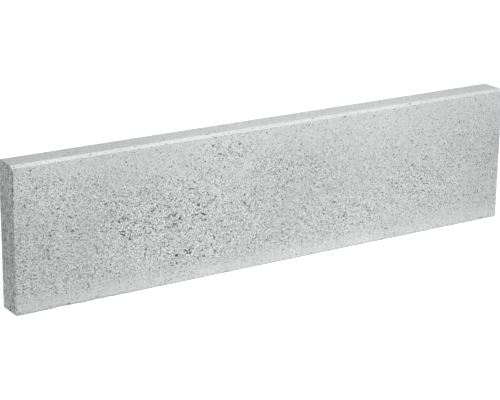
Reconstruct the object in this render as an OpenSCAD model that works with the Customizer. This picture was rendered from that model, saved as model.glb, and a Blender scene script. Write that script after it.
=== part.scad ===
// Concrete kerb stone: a straight edging for lawns and paths, cast as one piece.
// It stands on its bed, as it is laid: X along the kerb line, Y from front to back, Z up.
// The origin is at the middle of the bed.

/* [Stone] */
// Length along the kerb line
stone_length = 1000; // [250:10:1200]
// Height from the bed to the top face
stone_height = 250; // [150:5:400]
// Thickness from the front face to the back face
stone_thickness = 50; // [40:1:120]

/* [Top front edge] */
// Width of the chamfer across the top face
chamfer_width = 8; // [3:0.5:20]
// Drop of the chamfer down the front face
chamfer_drop = 4; // [2:0.5:20]

/* [Arrises] */
// Radius that the mould leaves on every other edge
arris_radius = 1.5; // [0.5:0.1:4]

/* [Hidden] */
$fn = 64;
concrete_grey = [0.60, 0.61, 0.60];
half_length = stone_length / 2;
half_thickness = stone_thickness / 2;
// How far a cutter reaches past the faces that it cuts
cutter_margin = 1;
// Corners of a rectangle: left or right as -1 or 1, then bottom or top as 0 or 1
all_corners = [for (side = [-1, 1], level = [0, 1]) [side, level]];
chamfered_corner = [-1, 1];

// Takes the sharp tip off a right angle that opens towards +X and +Y from the origin.
module arris_cutter() {
    difference() {
        translate([-cutter_margin, -cutter_margin])
            square(arris_radius + cutter_margin);
        translate([arris_radius, arris_radius])
            circle(arris_radius);
    }
}

// Rectangle that stands on the X axis, centred on X, with the given corners rounded.
module eased_rectangle(width, height, corners) {
    difference() {
        translate([-width / 2, 0])
            square([width, height]);
        for (corner = corners)
            translate([corner[0] * width / 2, corner[1] * height])
                mirror([corner[0] > 0 ? 1 : 0, 0])
                    mirror([0, corner[1] > 0 ? 1 : 0])
                        arris_cutter();
    }
}

// Section across the kerb line, with the front face on the left: three rounded corners and the chamfer.
module cross_section() {
    rounded_corners = [for (corner = all_corners) if (corner != chamfered_corner) corner];
    slope = chamfer_drop / chamfer_width;
    difference() {
        eased_rectangle(stone_thickness, stone_height, rounded_corners);
        translate([-half_thickness, stone_height])
            polygon([
                [-cutter_margin, -chamfer_drop - slope * cutter_margin],
                [chamfer_width + cutter_margin / slope, cutter_margin],
                [-cutter_margin, cutter_margin]
            ]);
    }
}

// Outline seen from above, which rounds the upright edges at the two ends.
module plan_outline() {
    translate([0, -half_thickness])
        eased_rectangle(stone_length, stone_thickness, all_corners);
}

// Outline seen from the front, which rounds the top and bottom edges of the two ends.
module front_outline() {
    eased_rectangle(stone_length, stone_height, all_corners);
}

// One solid casting: what the section and the two outlines have in common.
module kerb_stone() {
    color(concrete_grey)
        intersection() {
            rotate([90, 0, 90])
                translate([0, 0, -half_length])
                    linear_extrude(stone_length)
                        cross_section();
            linear_extrude(stone_height)
                plan_outline();
            rotate([90, 0, 0])
                translate([0, 0, -half_thickness])
                    linear_extrude(stone_thickness)
                        front_outline();
        }
}

kerb_stone();
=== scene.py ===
"""A concrete kerb stone: its cast skin, open pores, eased arrises and cloudy cement tone.

Lengths are metres in the part's own frame: X along the kerb line, Y from front to back, Z up.
"""
import math
from itertools import product

import bpy
import numpy as np
from mathutils import Matrix, Vector


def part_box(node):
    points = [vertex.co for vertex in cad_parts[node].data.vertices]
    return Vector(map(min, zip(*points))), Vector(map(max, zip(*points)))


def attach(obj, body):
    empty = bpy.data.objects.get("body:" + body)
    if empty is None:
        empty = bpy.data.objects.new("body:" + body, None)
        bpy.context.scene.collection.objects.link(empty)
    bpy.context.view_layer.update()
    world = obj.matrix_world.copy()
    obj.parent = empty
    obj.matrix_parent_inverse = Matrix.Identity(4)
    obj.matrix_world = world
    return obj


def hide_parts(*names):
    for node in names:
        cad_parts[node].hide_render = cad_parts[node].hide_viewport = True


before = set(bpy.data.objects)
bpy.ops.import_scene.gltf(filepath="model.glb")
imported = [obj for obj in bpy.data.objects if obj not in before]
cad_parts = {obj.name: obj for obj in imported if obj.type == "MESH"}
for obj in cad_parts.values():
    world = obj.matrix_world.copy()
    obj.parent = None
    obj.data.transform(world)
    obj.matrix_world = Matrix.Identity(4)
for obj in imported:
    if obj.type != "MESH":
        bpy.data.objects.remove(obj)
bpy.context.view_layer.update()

# Sizes of the stone
LOW, HIGH = (np.array(corner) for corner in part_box("kerb_stone"))
CHAMFER_WIDTH = 0.008
CHAMFER_DROP = 0.004
ARRIS_RADIUS = 0.0015

# A point this near to a face of the sharp box counts as lying on it
ON_FACE = 0.0002

# What chips and pits add to the radius of an edge
CHIP_SIZE = 0.0012
PIT_SIZE = 0.0005

# Edges sharper than this stay crisp in the shading
SHARP_ANGLE = math.radians(38)

# Grid of the skin: even spacing on the faces, closer lines beside every edge
GRID_STEP = 0.0035
EDGE_LINES = np.array([0.0, 0.0006, 0.0013, 0.0022, 0.0036])
CHAMFER_FRONT_LINES = np.array([0.0, 0.0035, 0.0040, 0.0045, 0.0060])
CHAMFER_TOP_LINES = np.array([0.0, 0.0025, 0.0050, 0.0075, 0.0080, 0.0085, 0.0105])

# How far the grid wanders along a side, and how far from an edge the wandering starts and is full
WANDER_REACH = 0.0013
WANDER_EDGES = (0.006, 0.016)

# Sides of the stone: axis across it, its end of that axis, the two axes along it, first axis turned round
SIDES = {
    "front": (1, 0, 0, 2, False),
    "back": (1, -1, 0, 2, True),
    "top": (2, -1, 0, 1, False),
    "bed": (2, 0, 0, 1, True),
    "right_end": (0, -1, 1, 2, False),
    "left_end": (0, 0, 1, 2, True),
}

# Sides that share a strip of the bake's square, strip by strip, with the gaps between strips and in them
BAKE_STRIPS = (("front",), ("back",), ("top",), ("bed",), ("left_end", "right_end"))
STRIP_GAP = 0.004
GAP_IN_STRIP = 0.05

# Pores open enough to be modelled: share of the grid blocks that hold one where the skin is most open
PORE_SHARE = {"front": 0.75, "back": 0.75, "top": 0.5, "bed": 0.5, "right_end": 0.6, "left_end": 0.6}
PORE_MARGIN = 0.007

# Radius of the pores, and the power that makes small ones the commoner
PORE_RADIUS = (0.0005, 0.0018)
PORE_POWER = 2.2

# A rim stays inside its block: its largest radius, and its reach once it is shifted
RIM_LARGEST = 0.9 * GRID_STEP
RIM_REACH = 0.92 * GRID_STEP

# Points round a rim, their angles, and the block's outer vertices in the same order
RING = 8
RING_ANGLES = math.radians(225) + np.arange(RING) * math.tau / RING
BLOCK_RIM = [(-1, -1), (0, -1), (1, -1), (1, 0), (1, 1), (0, 1), (-1, 1), (-1, 0)]

# A pore wider than this radius has a second ring, at these shares of its radius and depth
WIDE_PORE = 0.0013
INNER_RADIUS = 0.62
INNER_DEPTH = 0.75

# Depth at which the painted shade in a pore is full
DARK_DEPTH = 0.0014

# Patches where the skin is more open, or more closed where the strength is negative:
# place along X, place up Z, reach along X, reach up Z, strength
OPEN_PATCHES = {
    "front": [
        (-0.205, 0.105, 0.120, 0.050, 0.55),
        (-0.160, 0.045, 0.060, 0.020, 0.20),
        (0.130, 0.070, 0.140, 0.040, 0.12),
        (0.320, 0.095, 0.050, 0.030, 0.22),
        (-0.430, 0.210, 0.080, 0.028, 0.18),
        (-0.100, 0.216, 0.045, 0.022, 0.35),
        (0.020, 0.165, 0.050, 0.030, 0.20),
        (0.265, 0.150, 0.055, 0.028, -0.15),
    ],
    "back": [
        (0.260, 0.110, 0.100, 0.045, 0.50),
        (-0.110, 0.080, 0.110, 0.040, 0.30),
        (-0.360, 0.140, 0.070, 0.035, 0.25),
        (0.060, 0.200, 0.040, 0.020, 0.25),
    ],
}

# Nicks in the front edge of the foot: place along X, reach along X, size
FOOT_NICKS = [
    (-0.420, 0.014, 0.0050),
    (-0.396, 0.005, 0.0030),
    (-0.353, 0.005, 0.0040),
    (-0.330, 0.004, 0.0030),
    (-0.120, 0.006, 0.0012),
    (0.210, 0.005, 0.0014),
]

# Lighter above the foot and at the foot, then the left part darker as painted shade, where less light falls,
# and the right part darker towards its end:
# axis, start, end, factor of the tone at the start and at the end
TONE_RAMPS = [
    ("Z", 0.030, 0.130, 1.045, 1.0),
    ("Z", 0.004, 0.034, 1.11, 1.0),
    # Painted shade: the left part darker, where less light falls on it
    ("X", -0.50, -0.12, 0.935, 1.0),
    ("X", 0.25, 0.50, 1.0, 0.92),
]

# Soft lighter or darker patches on the front: place along X, place up Z, reach, factor of the tone
TONE_PATCHES = [
    (0.500, 0.130, 0.110, 0.92),
    (0.050, 0.140, 0.150, 0.935),
    (0.360, 0.190, 0.100, 0.960),
    (-0.440, 0.205, 0.110, 1.07),
    (-0.150, 0.235, 0.060, 1.04),
    (-0.150, 0.040, 0.070, 1.05),
]

# Grey of the concrete at three places on its scale, and where plain skin lies on the scale
DARKEST = (0.0, 0.0, 0.0, 1)
MIDDLE_GREY = (0.580, 0.590, 0.585, 1)
MIDDLE_PLACE = 0.6
LIGHTEST = (0.970, 0.985, 0.978, 1)
PLAIN_PLACE = 0.625

# Camera: on the photograph's line of sight, left of the stone and a little above it
CAMERA_AIM = Vector((-0.058, LOW[1], 0.1236))
CAMERA_DISTANCE = 2.882
CAMERA_AZIMUTH = math.radians(-32.92)
CAMERA_ELEVATION = math.radians(17.59)
CAMERA_ROLL = math.radians(0.605)
CAMERA_LENS = 121.12

# Most of a noise texture's output lies in this range
NOISE_RANGE = (0.3, 0.7)

# Random numbers: the seed of them all, and how many cells of noise and of lumps there are before they repeat
SEED = 7
NOISE_CELLS = 64
LUMP_CELLS = 32

# Seeds of the pores' places and shapes on the first side; each further side adds 1
PLACE_SEED = 100
SHAPE_SEED = 150


# Noise and other fields over the stone

def random_numbers(seed):
    """A generator that gives the same numbers on every run."""
    return np.random.default_rng([SEED, seed])


def smooth_step(value, start, end):
    """Rises from 0 at start to 1 at end along 3t^2 - 2t^3, flat outside."""
    t = np.clip((value - start) / (end - start), 0, 1)
    return t * t * (3 - 2 * t)


def noise(points, cell, seed):
    """Value noise from -1 to 1: random numbers on a cubic lattice of the given cell, blended smoothly."""
    table = random_numbers(seed).uniform(-1, 1, (NOISE_CELLS, NOISE_CELLS, NOISE_CELLS))
    place = points / cell
    corner = np.floor(place).astype(int)
    t = smooth_step(place - corner, 0, 1)
    total = np.zeros(len(points))
    for step in product((0, 1), repeat=3):
        weight = np.prod(np.where(step, t, 1 - t), axis=1)
        i, j, k = ((corner + step) % NOISE_CELLS).T
        total += weight * table[i, j, k]
    return total


def lump_joints(points, cell, seed):
    """Nearness to the joints between rounded lumps, from 0 inside a lump to 1 on a joint.

    One lump centre is scattered in each cube of the lattice. The measure is the gap between the
    distances to the nearest and second nearest centres, turned round.
    """
    table = random_numbers(seed).uniform(0, 1, (LUMP_CELLS, LUMP_CELLS, LUMP_CELLS, 3))
    place = points / cell
    home = np.floor(place).astype(int)
    nearest = np.full(len(points), np.inf)
    second = np.full(len(points), np.inf)
    for step in product((-1, 0, 1), repeat=3):
        cube = home + step
        i, j, k = (cube % LUMP_CELLS).T
        distance = np.linalg.norm(cube + table[i, j, k] - place, axis=1)
        second = np.minimum(second, np.maximum(nearest, distance))
        nearest = np.minimum(nearest, distance)
    return 1 - smooth_step(second - nearest, 0.05, 0.45)


def on_end(points):
    """True on the two ends of the sharp box."""
    return np.abs(points[:, 0]) > HIGH[0] - ON_FACE


def porosity(points):
    """How open the cast skin is, from 0 (closed cement) to 1 (honeycombed).

    A band at mid height, where the least paste gathers, falls off along the stone and is clouded by
    noise. The patches are added to it. The pressed top and the chamfer are nearly closed, and the two
    ends and the bed are open all over.
    """
    x, y, z = points.T
    band = smooth_step(z, 0.010, 0.050) * (1 - 0.85 * smooth_step(z, 0.150, 0.225))
    along = 0.30 - 0.16 * (x - LOW[0]) / (HIGH[0] - LOW[0])
    wide_cloud = noise(points, cell=0.060, seed=11)
    small_cloud = noise(points, cell=0.020, seed=12)
    cloud = np.maximum(1 + 0.45 * wide_cloud + 0.60 * small_cloud, 0.15)
    total = 0.05 + band * along * cloud
    for side, patches in OPEN_PATCHES.items():
        facing = (y < 0) if side == "front" else (y > 0)
        for place_x, place_z, reach_x, reach_z, strength in patches:
            apart = ((x - place_x) / reach_x) ** 2 + ((z - place_z) / reach_z) ** 2
            total += facing * strength * np.exp(-apart) * (0.6 + 0.4 * cloud)
    end_skin = 0.45 + 0.25 * noise(points, cell=0.020, seed=13) + 0.2 * noise(points, cell=0.008, seed=16)
    total = np.where(on_end(points), end_skin, total)
    bed_skin = 0.40 + 0.3 * noise(points, cell=0.050, seed=14)
    total = np.where(z < ON_FACE, bed_skin, total)
    top_skin = 0.05 + 0.05 * noise(points, cell=0.040, seed=15)
    total = np.where(z > HIGH[2] - CHAMFER_DROP - ON_FACE, top_skin, total)
    return np.clip(total, 0, 1)


def chamfer_nearness(points):
    """1 on the chamfer, fading to 0 across its two edges."""
    blur = 0.0004
    _, y, z = points.T
    lower_edge = HIGH[2] - CHAMFER_DROP
    rear_edge = LOW[1] + CHAMFER_WIDTH
    above = smooth_step(z, lower_edge - blur, lower_edge + blur)
    behind = smooth_step(y, rear_edge - blur, rear_edge + blur)
    return above * (1 - behind)


def pitted_arris(points):
    """How pitted the upright edge between front and left end is, from 0 to 1.

    The pits are spots of noise that run together into a broken line towards the top. The material darkens
    them with painted shade.
    """
    reach = 0.0016
    x, y, z = points.T
    apart = np.hypot(x - LOW[0], y - LOW[1]) / reach
    height = smooth_step(z, 0.140, 0.225) * (1 - smooth_step(z, 0.240, 0.246))
    spots = smooth_step(noise(points, cell=0.006, seed=35) + 1.3 * height, 0.55, 1.15)
    return np.exp(-apart ** 2) * spots


# Grid of the sharp box, with pores punched into it

def graded_lines(low, high, near_low, near_high):
    """Grid lines from low to high: the close lines given for each end, and even spacing between them."""
    first = low + near_low
    last = (high - near_high)[::-1]
    count = round((last[0] - first[-1]) / GRID_STEP)
    middle = np.linspace(first[-1], last[0], count + 1)[1:-1]
    return np.concatenate([first, middle, last])


def stone_lines():
    """Grid lines along X, Y and Z. The chamfer's lines lie at the low end of Y and the high end of Z."""
    return [
        graded_lines(LOW[0], HIGH[0], EDGE_LINES, EDGE_LINES),
        graded_lines(LOW[1], HIGH[1], CHAMFER_TOP_LINES, EDGE_LINES),
        graded_lines(LOW[2], HIGH[2], EDGE_LINES, CHAMFER_FRONT_LINES),
    ]


def box_skin(lines):
    """Grid points on the outside of a box, each once, and each side's grid of vertex numbers."""
    shape = [len(line) for line in lines]
    outside = np.zeros(shape, bool)
    for axis in range(3):
        np.moveaxis(outside, axis, 0)[[0, -1]] = True
    number = np.full(shape, -1)
    number[outside] = np.arange(outside.sum())
    points = np.stack(np.meshgrid(*lines, indexing="ij"), axis=-1)[outside]
    grids = {}
    for side, (across, end, _, _, turned) in SIDES.items():
        grid = number.take(end, axis=across)
        grids[side] = grid[::-1] if turned else grid
    return points, grids


def wander(points):
    """Shifts the grid points along their side by noise, so that no row of pores is straight.

    The shift fades out towards the edges, and a point never leaves its side.
    """
    to_edge = np.minimum(points - LOW, HIGH - points)
    across = to_edge < ON_FACE
    inner = np.where(across, 1, smooth_step(to_edge, *WANDER_EDGES)).prod(axis=1)
    shift = np.stack([noise(points, cell=0.010, seed=seed) for seed in (61, 62, 63)], axis=1)
    return points + WANDER_REACH * shift * inner[:, None] * ~across


def grid_quads(grid):
    """The quads of a grid of vertex numbers, as an array of rows by columns by 4."""
    return np.stack([grid[:-1, :-1], grid[1:, :-1], grid[1:, 1:], grid[:-1, 1:]], axis=-1)


def ring_quads(outer, inner):
    """Quads between two rings of vertex numbers, one ring pair per row."""
    quads = np.stack([outer, np.roll(outer, -1, 1), np.roll(inner, -1, 1), inner], axis=-1)
    return quads.reshape(-1, 4)


def ring_fan(ring, middle):
    """Triangles from a ring of vertex numbers to its middle vertex, one ring per row."""
    middles = np.broadcast_to(middle[:, None], ring.shape)
    return np.stack([ring, np.roll(ring, -1, 1), middles], axis=-1).reshape(-1, 3)


def choose_pores(side, points, grid, seed):
    """Row and column of the middle vertex of each block of 2 by 2 quads that gets a pore.

    A block is taken where a random number falls under the skin's porosity there, which counts most
    in groups set by noise and on the joints between lumps of aggregate.
    """
    _, _, first, second, _ = SIDES[side]
    rows, columns = np.meshgrid(
        np.arange(1, grid.shape[0] - 1, 2), np.arange(1, grid.shape[1] - 1, 2), indexing="ij"
    )
    middle = points[grid[rows, columns]]
    inside = np.ones(rows.shape, bool)
    for axis in (first, second):
        inside &= middle[..., axis] > LOW[axis] + PORE_MARGIN
        inside &= middle[..., axis] < HIGH[axis] - PORE_MARGIN
    rows, columns, middle = rows[inside], columns[inside], middle[inside]
    grouped = 0.15 + 1.5 * smooth_step(noise(middle, cell=0.018, seed=22), -0.15, 0.55)
    at_joint = 0.35 + 0.9 * lump_joints(middle, cell=0.014, seed=21)
    chance = PORE_SHARE[side] * porosity(middle) * grouped * at_joint
    taken = random_numbers(seed).random(len(rows)) < chance
    return rows[taken], columns[taken]


def pore_shapes(open_skin, draw):
    """Random pores, one for each number in open_skin: radius, rim, shift along the side, and depth.

    The rim is a radius for each ring angle: an ellipse with a random tilt and an uneven edge. The shift
    leaves the pore inside its block.
    """
    count = len(open_skin)
    small, large = PORE_RADIUS
    radius = small + (large - small) * open_skin * draw.random(count) ** PORE_POWER
    tilt = draw.uniform(0, math.pi, count)
    stretch = draw.uniform(0.1, 0.6, count)
    uneven = draw.uniform(0.78, 1.12, (count, RING))
    oval = 1 + stretch[:, None] * np.cos(2 * (RING_ANGLES - tilt[:, None]))
    rim = np.minimum(radius[:, None] * uneven * oval, RIM_LARGEST)
    room = np.maximum(RIM_REACH - rim.max(axis=1), 0)
    shift = draw.uniform(-1, 1, (count, 2)) * room[:, None]
    depth = radius * draw.uniform(0.9, 1.7, count)
    return radius, rim, shift, depth


def punch_pores(side, side_number, points, grid, start):
    """Pores cut into one side: new points, how deep each lies, the side's faces, and the pores' floors.

    Each pore has a ring of points inside its block. A wide pore has a second, smaller ring near its
    floor. The block's middle vertex is the floor of each: its number, depth and shift come last. New
    points are numbered from start.
    """
    _, _, first, second, _ = SIDES[side]
    rows, columns = choose_pores(side, points, grid, PLACE_SEED + side_number)
    block = np.stack([grid[rows + i, columns + j] for i, j in BLOCK_RIM], axis=1)
    middle = grid[rows, columns]
    count = len(middle)
    open_skin = 0.35 + 0.65 * smooth_step(porosity(points[middle]), 0.25, 0.60)
    radius, rim, shift, depth = pore_shapes(open_skin, random_numbers(SHAPE_SEED + side_number))
    way = np.sign(points[grid[1, 1]] - points[grid[0, 0]])
    moved = np.zeros((count, 3))
    moved[:, first] = way[first] * shift[:, 0]
    moved[:, second] = way[second] * shift[:, 1]

    def ring_points(scale):
        ring = np.repeat((points[middle] + moved)[:, None, :], RING, axis=1)
        ring[..., first] += way[first] * scale * rim * np.cos(RING_ANGLES)
        ring[..., second] += way[second] * scale * rim * np.sin(RING_ANGLES)
        return ring

    wide = radius > WIDE_PORE
    rim_numbers = start + np.arange(count * RING).reshape(count, RING)
    inner_numbers = start + count * RING + np.arange(wide.sum() * RING).reshape(-1, RING)
    new_points = np.concatenate([
        ring_points(1).reshape(-1, 3),
        ring_points(INNER_RADIUS)[wide].reshape(-1, 3),
    ])
    new_depth = np.concatenate([np.zeros(count * RING), np.repeat(INNER_DEPTH * depth[wide], RING)])
    keep = np.ones((grid.shape[0] - 1, grid.shape[1] - 1), bool)
    for i, j in product((-1, 0), repeat=2):
        keep[rows + i, columns + j] = False
    quads = np.concatenate([
        grid_quads(grid)[keep],
        ring_quads(block, rim_numbers),
        ring_quads(rim_numbers[wide], inner_numbers),
    ])
    triangles = np.concatenate([
        ring_fan(inner_numbers, middle[wide]),
        ring_fan(rim_numbers[~wide], middle[~wide]),
    ])
    return new_points, new_depth, quads, triangles, (middle, depth, moved)


def punched_box():
    """The sharp box with its pores: points on its faces, how deep each sinks, the faces, and their sides."""
    points, grids = box_skin(stone_lines())
    points = wander(points)
    flat = [points]
    depth = [np.zeros(len(points))]
    quads, triangles, floors = [], [], []
    start = len(points)
    for side_number, (side, grid) in enumerate(grids.items()):
        new_points, new_depth, side_quads, side_triangles, floor = punch_pores(
            side, side_number, points, grid, start
        )
        flat.append(new_points)
        depth.append(new_depth)
        quads.append(side_quads)
        triangles.append(side_triangles)
        floors.append(floor)
        start += len(new_points)
    flat = np.concatenate(flat)
    depth = np.concatenate(depth)
    for middle, floor_depth, moved in floors:
        depth[middle] = floor_depth
        flat[middle] += moved
    return flat, depth, quads + triangles, list(grids) * 2


# The stone

def arris_wear(points):
    """Radius of the rounded edge near each point: the mould's radius, uneven, with chips and nicks.

    It is smaller towards the chamfer, whose corners come crisp out of the mould.
    """
    x, y, z = points.T
    uneven = 0.8 + 0.30 * noise(points, cell=0.012, seed=31) + 0.25 * noise(points, cell=0.005, seed=32)
    crisp = 1 - 0.6 * smooth_step(z, 0.232, 0.244) * (1 - smooth_step(y, -0.015, -0.005))
    chip_noise = noise(points, cell=0.016, seed=33) + 0.5 * noise(points, cell=0.007, seed=34)
    chips = smooth_step(chip_noise, 0.80, 1.2)
    radius = (ARRIS_RADIUS * uneven + CHIP_SIZE * chips) * crisp + PIT_SIZE * pitted_arris(points)
    on_foot = (z < 0.01) & (y < -0.015)
    for place_x, reach, size in FOOT_NICKS:
        radius = radius + on_foot * size * np.exp(-((x - place_x) / reach) ** 2)
    return radius


def inward(flat):
    """Unit direction from each point of the box towards its core, square to the faces away from the edges."""
    core_depth = 0.01
    into = np.clip(flat, LOW + core_depth, HIGH - core_depth) - flat
    return into / np.linalg.norm(into, axis=1, keepdims=True)


def worn_skin(flat):
    """Moves points of the sharp box onto the stone's skin.

    A point within the local radius of an edge goes to the arc of that radius. What lies beyond the
    chamfer's plane drops onto it, through a soft bend. Then the skin sinks by low waves and grain.
    """
    radius = arris_wear(flat)[:, None]
    core = np.clip(flat, LOW + radius, HIGH - radius)
    out = flat - core
    skin = core + radius * out / np.linalg.norm(out, axis=1, keepdims=True)
    normal = np.array([0, -CHAMFER_DROP, CHAMFER_WIDTH]) / math.hypot(CHAMFER_DROP, CHAMFER_WIDTH)
    corner = np.array([0, LOW[1], HIGH[2] - CHAMFER_DROP])
    beyond = (skin - corner) @ normal
    bend = 0.00012
    drop = 0.5 * (beyond + np.sqrt(beyond ** 2 + bend ** 2))
    skin = skin - drop[:, None] * normal
    long_waves = 0.00014 * (1 + noise(flat, cell=0.070, seed=41))
    short_waves = 0.00008 * (1 + noise(flat, cell=0.022, seed=42))
    grain = 0.00010 * (1 + noise(flat, cell=0.0042, seed=43)) * (0.35 + porosity(flat))
    return skin + inward(flat) * (long_waves + short_waves + grain)[:, None]


def bake_layout(flat, faces, sides_of_faces):
    """UV of every face corner: the sides laid out flat in strips, one under the other, to fill the square."""
    length, thickness, height = HIGH - LOW
    corner_of = {}
    used = 0.0
    for strip in BAKE_STRIPS:
        for number, side in enumerate(strip):
            corner_of[side] = (number * (height + GAP_IN_STRIP), used)
        used += (height if strip[0] in ("front", "back") else thickness) + STRIP_GAP
    places = []
    for side, corners in zip(sides_of_faces, faces):
        _, _, first, second, turned = SIDES[side]
        at = flat[corners]
        u = HIGH[first] - at[..., first] if turned else at[..., first] - LOW[first]
        v = at[..., second] - LOW[second]
        if side.endswith("end"):
            u, v = v, u
        left, bottom = corner_of[side]
        places.append(np.stack([(left + u) / length, (bottom + v) / used], axis=-1).reshape(-1, 2))
    return np.clip(np.concatenate(places), 0, 1)


def build_stone():
    """The stone: the punched box, shaped by worn_skin, with what its material needs to know of each point."""
    flat, depth, faces, sides_of_faces = punched_box()
    shaped = worn_skin(flat) + inward(flat) * depth[:, None]
    mesh = bpy.data.meshes.new("kerb_stone_cast")
    mesh.from_pydata(shaped.tolist(), [], [face for part in faces for face in part.tolist()])
    values = {
        "porosity": porosity(flat),
        "hollow": smooth_step(depth, 0.0, DARK_DEPTH),
        "chamfer": chamfer_nearness(flat),
        "end_face": on_end(flat).astype(float),
        "pitted": pitted_arris(flat),
    }
    for name, value in values.items():
        mesh.attributes.new(name, "FLOAT", "POINT").data.foreach_set("value", value)
    layout = bake_layout(flat, faces, sides_of_faces)
    mesh.uv_layers.new(name="OFBake").uv.foreach_set("vector", layout.ravel())
    mesh.shade_smooth()
    mesh.set_sharp_from_angle(angle=SHARP_ANGLE)
    stone = bpy.data.objects.new("kerb_stone_cast", mesh)
    bpy.context.collection.objects.link(stone)
    return stone


# Shader nodes, one kind to a function

def calculate(tree, operation, first, second=None, third=None, clamp=False):
    """Output of a Math node on sockets or plain numbers."""
    node = tree.nodes.new("ShaderNodeMath")
    node.operation = operation
    node.use_clamp = clamp
    for place, value in enumerate((first, second, third)):
        if isinstance(value, bpy.types.NodeSocket):
            tree.links.new(value, node.inputs[place])
        elif value is not None:
            node.inputs[place].default_value = value
    return node.outputs[0]


def multiply(tree, first, *others):
    """All the values multiplied together."""
    total = first
    for other in others:
        total = calculate(tree, "MULTIPLY", total, other)
    return total


def largest(tree, first, *others):
    """The largest of the values."""
    total = first
    for other in others:
        total = calculate(tree, "MAXIMUM", total, other)
    return total


def linear(tree, value, slope, base):
    """The value times the slope, plus the base; each may be a socket."""
    return calculate(tree, "MULTIPLY_ADD", value, slope, base)


def only_on(tree, mask, factor):
    """The factor where the mask is 1, fading to a factor of 1 where the mask is 0."""
    return calculate(tree, "POWER", factor, mask)


def remap(tree, value, given, wanted, smooth=False):
    """Output of a Map Range node, clamped: the given range, a pair of numbers, becomes the wanted one."""
    node = tree.nodes.new("ShaderNodeMapRange")
    node.interpolation_type = "SMOOTHSTEP" if smooth else "LINEAR"
    tree.links.new(value, node.inputs["Value"])
    for name, number in zip(("From Min", "From Max", "To Min", "To Max"), (*given, *wanted)):
        node.inputs[name].default_value = number
    return node.outputs["Result"]


def threshold(tree, value, start, width):
    """0 under start, rising to 1 over the given width; start may be a socket."""
    above = calculate(tree, "SUBTRACT", value, start)
    return calculate(tree, "DIVIDE", above, width, clamp=True)


def around_one(tree, value, given, amplitude):
    """A factor about 1: the given range becomes -1 to 1, times the amplitude, which may be a socket."""
    return linear(tree, remap(tree, value, given, (-1.0, 1.0)), amplitude, 1.0)


def noise_value(tree, place, scale, detail=2.0, roughness=0.5):
    """Output of a noise texture, about 0.5, at so many cells a metre."""
    node = tree.nodes.new("ShaderNodeTexNoise")
    node.inputs["Scale"].default_value = scale
    node.inputs["Detail"].default_value = detail
    node.inputs["Roughness"].default_value = roughness
    tree.links.new(place, node.inputs["Vector"])
    return node.outputs["Fac"]


def noise_factor(tree, noise_output, amplitude):
    """A factor about 1 from the output of a noise texture."""
    return around_one(tree, noise_output, NOISE_RANGE, amplitude)


def cell_texture(tree, place, cells_per_metre, feature="F1"):
    """A Voronoi texture of so many cells a metre."""
    cells = tree.nodes.new("ShaderNodeTexVoronoi")
    cells.feature = feature
    cells.inputs["Scale"].default_value = cells_per_metre
    tree.links.new(place, cells.inputs["Vector"])
    return cells


def attribute_value(tree, name):
    """A number kept on the mesh's points."""
    node = tree.nodes.new("ShaderNodeAttribute")
    node.attribute_name = name
    return node.outputs["Fac"]


def distance_from(tree, place, point):
    """Distance of the place from a point, in metres."""
    node = tree.nodes.new("ShaderNodeVectorMath")
    node.operation = "DISTANCE"
    tree.links.new(place, node.inputs[0])
    node.inputs[1].default_value = point
    return node.outputs["Value"]


def bent_place(tree, place, cells_per_metre, reach):
    """The place, shifted by noise of the given reach, so that what is drawn there is not straight."""
    bend = tree.nodes.new("ShaderNodeTexNoise")
    bend.inputs["Scale"].default_value = cells_per_metre
    tree.links.new(place, bend.inputs["Vector"])
    moved = tree.nodes.new("ShaderNodeVectorMath")
    moved.operation = "MULTIPLY_ADD"
    tree.links.new(bend.outputs["Color"], moved.inputs[0])
    moved.inputs[1].default_value = (reach, reach, reach)
    tree.links.new(place, moved.inputs[2])
    return moved.outputs["Vector"]


# Patterns of grains, pores and joints

def specks_group():
    """Round specks scattered one to a cell: a share of the cells has one, of random size.

    Mask is 1 in a speck and 0 outside it. Cell Number is a random number from 0 to 1 for each cell.
    """
    group = bpy.data.node_groups.new("specks", "ShaderNodeTree")
    sockets = group.interface
    sockets.new_socket("Vector", in_out="INPUT", socket_type="NodeSocketVector")
    for name in ("Cells per Metre", "Share", "Largest", "Softness"):
        sockets.new_socket(name, in_out="INPUT", socket_type="NodeSocketFloat")
    sockets.new_socket("Mask", in_out="OUTPUT", socket_type="NodeSocketFloat")
    sockets.new_socket("Cell Number", in_out="OUTPUT", socket_type="NodeSocketFloat")
    given = group.nodes.new("NodeGroupInput").outputs
    result = group.nodes.new("NodeGroupOutput").inputs
    cells = group.nodes.new("ShaderNodeTexVoronoi")
    group.links.new(given["Vector"], cells.inputs["Vector"])
    group.links.new(given["Cells per Metre"], cells.inputs["Scale"])
    parts = group.nodes.new("ShaderNodeSeparateColor")
    group.links.new(cells.outputs["Color"], parts.inputs["Color"])
    without = calculate(group, "SUBTRACT", 1.0, given["Share"])
    above = calculate(group, "SUBTRACT", parts.outputs["Red"], without)
    some_share = calculate(group, "MAXIMUM", given["Share"], 0.001)
    size = calculate(group, "DIVIDE", above, some_share, clamp=True)
    radius = multiply(group, calculate(group, "SQRT", size), given["Largest"])
    within = calculate(group, "SUBTRACT", radius, cells.outputs["Distance"])
    mask = calculate(group, "DIVIDE", within, given["Softness"], clamp=True)
    group.links.new(mask, result["Mask"])
    group.links.new(parts.outputs["Green"], result["Cell Number"])
    return group


def place_specks(tree, group, place, cells_per_metre, share, widest, softness):
    """The specks group in a material, with its own values; share may be a socket."""
    node = tree.nodes.new("ShaderNodeGroup")
    node.node_tree = group
    tree.links.new(place, node.inputs["Vector"])
    node.inputs["Cells per Metre"].default_value = cells_per_metre
    node.inputs["Largest"].default_value = widest
    node.inputs["Softness"].default_value = softness
    if isinstance(share, bpy.types.NodeSocket):
        tree.links.new(share, node.inputs["Share"])
    else:
        node.inputs["Share"].default_value = share
    return node.outputs


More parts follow.
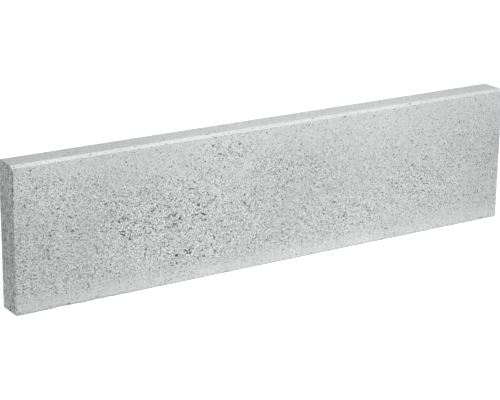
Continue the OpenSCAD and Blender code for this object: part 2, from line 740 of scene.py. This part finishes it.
def loose_sand(tree, group, place, cells_per_metre, depth):
    """A factor about 1: rounded grains of sand, each lighter or darker than the paste by up to the depth."""
    grains = place_specks(tree, group, place, cells_per_metre, share=0.9, widest=0.60, softness=0.18)
    own_tone = remap(tree, grains["Cell Number"], (0.0, 1.0), (-1.0, 1.0))
    return linear(tree, multiply(tree, own_tone, grains["Mask"]), depth, 1.0)


def soft_sand(tree, place, cells_per_metre, softness, depth):
    """A factor about 1: a random tone for each cell, blended softly into the next cell's."""
    cells = cell_texture(tree, place, cells_per_metre, "SMOOTH_F1")
    cells.inputs["Smoothness"].default_value = softness
    parts = tree.nodes.new("ShaderNodeSeparateColor")
    tree.links.new(cells.outputs["Color"], parts.inputs["Color"])
    return around_one(tree, parts.outputs["Green"], (0.0, 1.0), depth)


def shaded_grit(tree, place, cells_per_metre, depth):
    """A factor about 1: painted highlight and shade on grains that touch, each lighter in the middle and
    darker towards its joints.
    """
    distance = cell_texture(tree, place, cells_per_metre).outputs["Distance"]
    return linear(tree, remap(tree, distance, (0.40, 0.90), (0.50, -1.2)), depth, 1.0)


def joint_mask(tree, place, cells_per_metre, half_width, softness):
    """1 on the joints between cells and 0 inside them; widths are shares of a cell."""
    distance = cell_texture(tree, place, cells_per_metre, "DISTANCE_TO_EDGE").outputs["Distance"]
    return remap(tree, distance, (half_width - softness, half_width), (1.0, 0.0))


# The concrete

class Skin:
    """What every part of the concrete material is worked out from.

    Openness is the mesh's porosity. Rough goes from 0 on smooth paste to 1 on bare sand.
    """

    def __init__(self, tree):
        self.tree = tree
        self.place = tree.nodes.new("ShaderNodeTexCoord").outputs["Object"]
        axes = tree.nodes.new("ShaderNodeSeparateXYZ")
        tree.links.new(self.place, axes.inputs["Vector"])
        self.axes = axes.outputs
        self.specks = specks_group()
        self.openness = attribute_value(tree, "porosity")
        self.rough = remap(tree, self.openness, (0.0, 0.35), (0.0, 1.0))
        self.grain_noise = noise_value(tree, self.place, scale=560.0, detail=3.0, roughness=0.75)
        mottle_noise = noise_value(tree, self.place, scale=60.0, detail=4.0, roughness=0.6)
        mottle_depth = linear(tree, self.rough, slope=0.01, base=0.02)
        self.mottle = noise_factor(tree, mottle_noise, mottle_depth)


def cement_and_shade_factors(skin):
    """Tone of the cement: clouds and mottle, the ramps along the stone, and the patches on its front; the
    ramp on the left part is painted shade.

    It is a little lighter where the skin is open.
    """
    tree = skin.tree
    cloud_noise = noise_value(tree, skin.place, scale=9.0, detail=3.0)
    factors = [noise_factor(tree, cloud_noise, 0.03), skin.mottle]
    for axis, start, end, first, last in TONE_RAMPS:
        factors.append(remap(tree, skin.axes[axis], (start, end), (first, last), smooth=True))
    for place_x, place_z, reach, factor in TONE_PATCHES:
        apart = distance_from(tree, skin.place, (place_x, LOW[1], place_z))
        factors.append(remap(tree, apart, (0.0, reach), (factor, 1.0), smooth=True))
    factors.append(remap(tree, skin.openness, (0.30, 0.80), (1.0, 1.115)))
    factors.append(remap(tree, skin.rough, (0.0, 1.0), (1.0, 1.05)))
    return factors


def sand_factors(skin):
    """Tone of the sand, and the painted highlight and shade on the grit, which show more where the skin is
    rough.
    """
    tree = skin.tree
    grain_depth = linear(tree, skin.rough, slope=0.04, base=0.05)
    sand_depth = linear(tree, skin.rough, slope=0.10, base=0.09)
    grit_depth = linear(tree, skin.rough, slope=0.26, base=0.05)
    grit_place = bent_place(tree, skin.place, cells_per_metre=600.0, reach=0.0008)
    sand_place = bent_place(tree, skin.place, cells_per_metre=900.0, reach=0.0012)
    return [
        noise_factor(tree, skin.grain_noise, grain_depth),
        # Grit with painted highlight and shade
        shaded_grit(tree, grit_place, cells_per_metre=400.0, depth=grit_depth),
        soft_sand(tree, sand_place, cells_per_metre=620.0, softness=0.35, depth=sand_depth),
        loose_sand(tree, skin.specks, skin.place, cells_per_metre=1400.0, depth=sand_depth),
    ]


def edge_factors(skin):
    """Tone of the foot edge darkened by painted shade, the chamfer lighter by its smoother paste and a
    painted highlight, the top face darker towards the left, and the pitted upright edge darkened by painted
    shade in its pits.
    """
    tree = skin.tree
    x = skin.axes["X"]
    z = skin.axes["Z"]
    # Painted shade along the foot's front edge on the left part, where the rounded edge turns under
    painted_foot_shade = remap(tree, z, (0.0005, 0.005), (0.74, 1.0), smooth=True)
    foot_left = remap(tree, x, (-0.34, -0.18), (1.0, 0.25), smooth=True)
    chamfer = attribute_value(tree, "chamfer")
    # The chamfer lighter: partly its smoother paste, partly a painted highlight where the light falls on it
    chamfer_paste_and_highlight = remap(tree, x, (-0.50, 0.10), (1.25, 1.14), smooth=True)
    top_left = remap(tree, x, (-0.40, 0.0), (0.95, 1.0), smooth=True)
    above_front = remap(tree, z, (0.2470, 0.2485), (0.0, 1.0))
    top_face = multiply(tree, above_front, calculate(tree, "SUBTRACT", 1.0, chamfer))
    # Painted shade in the pits of the upright edge between front and left end
    pit_dots = threshold(tree, noise_value(tree, skin.place, scale=240.0), start=0.42, width=0.12)
    pits = multiply(tree, attribute_value(tree, "pitted"), pit_dots)
    return [
        only_on(tree, foot_left, painted_foot_shade),
        only_on(tree, chamfer, chamfer_paste_and_highlight),
        only_on(tree, top_face, top_left),
        remap(tree, pits, (0.0, 0.8), (1.0, 0.22)),
    ]


def end_factors(skin):
    """Tone of the two ends: mottled, with dark clumps, darkest at mid height. The right end is plainer."""
    tree = skin.tree
    strength = remap(tree, skin.axes["X"], (-0.50, 0.50), (1.0, 0.45))
    end_rough = multiply(tree, attribute_value(tree, "end_face"), strength)
    end_noise = noise_value(tree, skin.place, scale=85.0, detail=4.0, roughness=0.95)
    clump_noise = noise_value(tree, skin.place, scale=150.0, detail=3.0, roughness=0.85)
    clumps = multiply(tree, threshold(tree, clump_noise, start=0.49, width=0.16), end_rough)
    from_middle = distance_from(tree, skin.place, (-0.50, 0.0, 0.135))
    middle_tone = remap(tree, from_middle, (0.02, 0.07), (1.08, 1.19), smooth=True)
    return [
        noise_factor(tree, end_noise, multiply(tree, end_rough, 0.42)),
        remap(tree, clumps, (0.0, 1.0), (1.0, 0.42)),
        only_on(tree, end_rough, middle_tone),
    ]


def joint_gap_shadows(skin):
    """Strokes of painted shadow along the joints between lumps of aggregate, where the paste has not filled
    them.
    """
    tree = skin.tree
    bent = bent_place(tree, skin.place, cells_per_metre=150.0, reach=0.007)
    joint = joint_mask(tree, bent, cells_per_metre=80.0, half_width=0.080, softness=0.03)
    start = linear(tree, skin.openness, slope=-0.17, base=0.690)
    unfilled = threshold(tree, noise_value(tree, skin.place, scale=170.0), start, width=0.04)
    return multiply(tree, joint, unfilled)


def fine_pores(skin):
    """1 in the pores too fine to model, which the material darkens with painted shade: peaks of noise,
    unfilled joints, and round pinholes and pits.

    There are more of them where the skin is open, and fewer pinholes towards the pressed top.
    """
    tree = skin.tree
    fine_start = linear(tree, skin.openness, slope=-0.10, base=0.675)
    fine = threshold(tree, noise_value(tree, skin.place, scale=560.0), fine_start, width=0.07)
    wide_start = linear(tree, skin.openness, slope=-0.10, base=0.735)
    wide = threshold(tree, noise_value(tree, skin.place, scale=330.0), wide_start, width=0.07)
    uneven = bent_place(tree, skin.place, cells_per_metre=700.0, reach=0.0014)
    pressed_top = remap(tree, skin.axes["Z"], (0.215, 0.2465), (1.0, 0.30))
    pinhole_share = multiply(tree, linear(tree, skin.rough, slope=0.75, base=0.07), pressed_top)
    pinholes = place_specks(
        tree, skin.specks, uneven, cells_per_metre=420.0, share=pinhole_share, widest=0.40, softness=0.07
    )
    pit_share = multiply(tree, skin.rough, 0.12)
    pits = place_specks(
        tree, skin.specks, uneven, cells_per_metre=190.0, share=pit_share, widest=0.28, softness=0.04
    )
    return largest(tree, fine, wide, joint_gap_shadows(skin), pinholes["Mask"], pits["Mask"])


def concrete_colour(tree, tone):
    """Colour of the concrete at a tone, where 1 is plain skin."""
    ramp = tree.nodes.new("ShaderNodeValToRGB")
    first, last = ramp.color_ramp.elements
    first.color = DARKEST
    last.color = LIGHTEST
    ramp.color_ramp.elements.new(MIDDLE_PLACE).color = MIDDLE_GREY
    tree.links.new(multiply(tree, tone, PLAIN_PLACE), ramp.inputs["Fac"])
    return ramp.outputs["Color"]


def relief_normal(skin, pores):
    """Normal of the fine relief: the grain stands up and the pores sink; heights are in millimetres."""
    tree = skin.tree
    grain_height = multiply(tree, skin.grain_noise, linear(tree, skin.rough, slope=0.6, base=0.3))
    bump = tree.nodes.new("ShaderNodeBump")
    bump.inputs["Distance"].default_value = 0.001
    bump.inputs["Strength"].default_value = 0.8
    tree.links.new(linear(tree, pores, -0.8, grain_height), bump.inputs["Height"])
    return bump.outputs["Normal"]


def concrete_material():
    """Grey cast concrete: clouds in the cement, sand and grit, and open pores darkened by painted shade where
    the skin is open.
    """
    material = bpy.data.materials.new("cast_concrete")
    material.use_nodes = True
    tree = material.node_tree
    skin = Skin(tree)
    pores = fine_pores(skin)
    # Painted shade in the fine pores
    fine_pore_shade = remap(tree, pores, (0.0, 1.0), (1.0, 0.12))
    # Painted shade in the modelled pores, darker with their depth
    pore_hollow_shade = remap(tree, attribute_value(tree, "hollow"), (0.15, 0.50), (1.0, 0.25))
    factors = cement_and_shade_factors(skin) + sand_factors(skin) + edge_factors(skin) + end_factors(skin)
    tone = multiply(tree, *factors, fine_pore_shade, pore_hollow_shade)
    roughness = remap(tree, skin.mottle, (0.93, 1.07), (0.95, 0.85))
    shader = tree.nodes["Principled BSDF"]
    tree.links.new(concrete_colour(tree, tone), shader.inputs["Base Color"])
    tree.links.new(relief_normal(skin, pores), shader.inputs["Normal"])
    tree.links.new(roughness, shader.inputs["Roughness"])
    shader.inputs["Specular IOR Level"].default_value = 0.25
    return material


# Camera, floor and light

def add_camera():
    """A level view along +Y, turned by the azimuth, tipped by the elevation, rolled and moved back."""
    data = bpy.data.cameras.new("camera")
    data.lens = CAMERA_LENS
    camera = bpy.data.objects.new("camera", data)
    turn = Matrix.Rotation(CAMERA_AZIMUTH, 4, "Z") @ Matrix.Rotation(math.pi / 2 - CAMERA_ELEVATION, 4, "X")
    turn = turn @ Matrix.Rotation(CAMERA_ROLL, 4, "Z")
    back = turn @ Vector((0, 0, CAMERA_DISTANCE))
    camera.matrix_world = Matrix.Translation(CAMERA_AIM + back) @ turn
    bpy.context.collection.objects.link(camera)
    bpy.context.scene.camera = camera


def seen_directly(tree):
    """1 for rays from the camera and from mirrors and glass, 0 for the rays that light the stone."""
    path = tree.nodes.new("ShaderNodeLightPath").outputs
    return largest(tree, path["Is Camera Ray"], path["Is Glossy Ray"], path["Is Transmission Ray"])


def add_floor():
    """A plain pale floor. The camera sees it lifted to white, less the stone's shadow."""
    half = 6.0
    white_lift = 0.63
    mesh = bpy.data.meshes.new("floor")
    corners = [(-half, -half, 0), (half, -half, 0), (half, half, 0), (-half, half, 0)]
    mesh.from_pydata(corners, [], [(0, 1, 2, 3)])
    floor = bpy.data.objects.new("floor", mesh)
    bpy.context.collection.objects.link(floor)
    material = bpy.data.materials.new("floor_paint")
    material.use_nodes = True
    tree = material.node_tree
    tree.nodes.clear()
    paint = tree.nodes.new("ShaderNodeBsdfDiffuse")
    paint.inputs["Color"].default_value = (0.80, 0.80, 0.80, 1)
    lift = tree.nodes.new("ShaderNodeEmission")
    tree.links.new(multiply(tree, seen_directly(tree), white_lift), lift.inputs["Strength"])
    both = tree.nodes.new("ShaderNodeAddShader")
    tree.links.new(paint.outputs[0], both.inputs[0])
    tree.links.new(lift.outputs[0], both.inputs[1])
    surface = tree.nodes.new("ShaderNodeOutputMaterial")
    tree.links.new(both.outputs[0], surface.inputs["Surface"])
    mesh.materials.append(material)


def add_world():
    """Even, slightly cool light from all round, and a white background."""
    world = bpy.data.worlds.new("studio")
    world.use_nodes = True
    tree = world.node_tree
    light = tree.nodes["Background"]
    light.inputs["Color"].default_value = (0.935, 1.0, 0.985, 1)
    light.inputs["Strength"].default_value = 0.5
    backdrop = tree.nodes.new("ShaderNodeBackground")
    backdrop.inputs["Color"].default_value = (1.0, 1.0, 1.0, 1)
    either = tree.nodes.new("ShaderNodeMixShader")
    tree.links.new(seen_directly(tree), either.inputs["Fac"])
    tree.links.new(light.outputs[0], either.inputs[1])
    tree.links.new(backdrop.outputs[0], either.inputs[2])
    tree.links.new(either.outputs[0], tree.nodes["World Output"].inputs["Surface"])
    bpy.context.scene.world = world


def add_soft_box(name, place, aim, size, power, colour):
    """A large square lamp that faces its aim."""
    data = bpy.data.lights.new(name, "AREA")
    data.shape = "SQUARE"
    data.size = size
    data.energy = power
    data.color = colour
    lamp = bpy.data.objects.new(name, data)
    lamp.location = place
    lamp.rotation_euler = (Vector(aim) - Vector(place)).to_track_quat("-Z", "Y").to_euler()
    bpy.context.collection.objects.link(lamp)


add_camera()
add_floor()
add_world()
add_soft_box(
    "key", place=(0.14, -1.0, 1.35), aim=(0.12, 0.0, 0.15), size=1.0, power=17.1, colour=(1.0, 0.965, 0.978)
)
add_soft_box(
    "fill", place=(-0.3, 1.8, 0.25), aim=(0.0, 0.0, 0.10), size=0.8, power=6.0, colour=(1.0, 0.98, 0.985)
)

stone = build_stone()
stone.data.materials.append(concrete_material())
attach(stone, "root")
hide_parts("kerb_stone")

bpy.context.scene.view_settings.view_transform = "Standard"
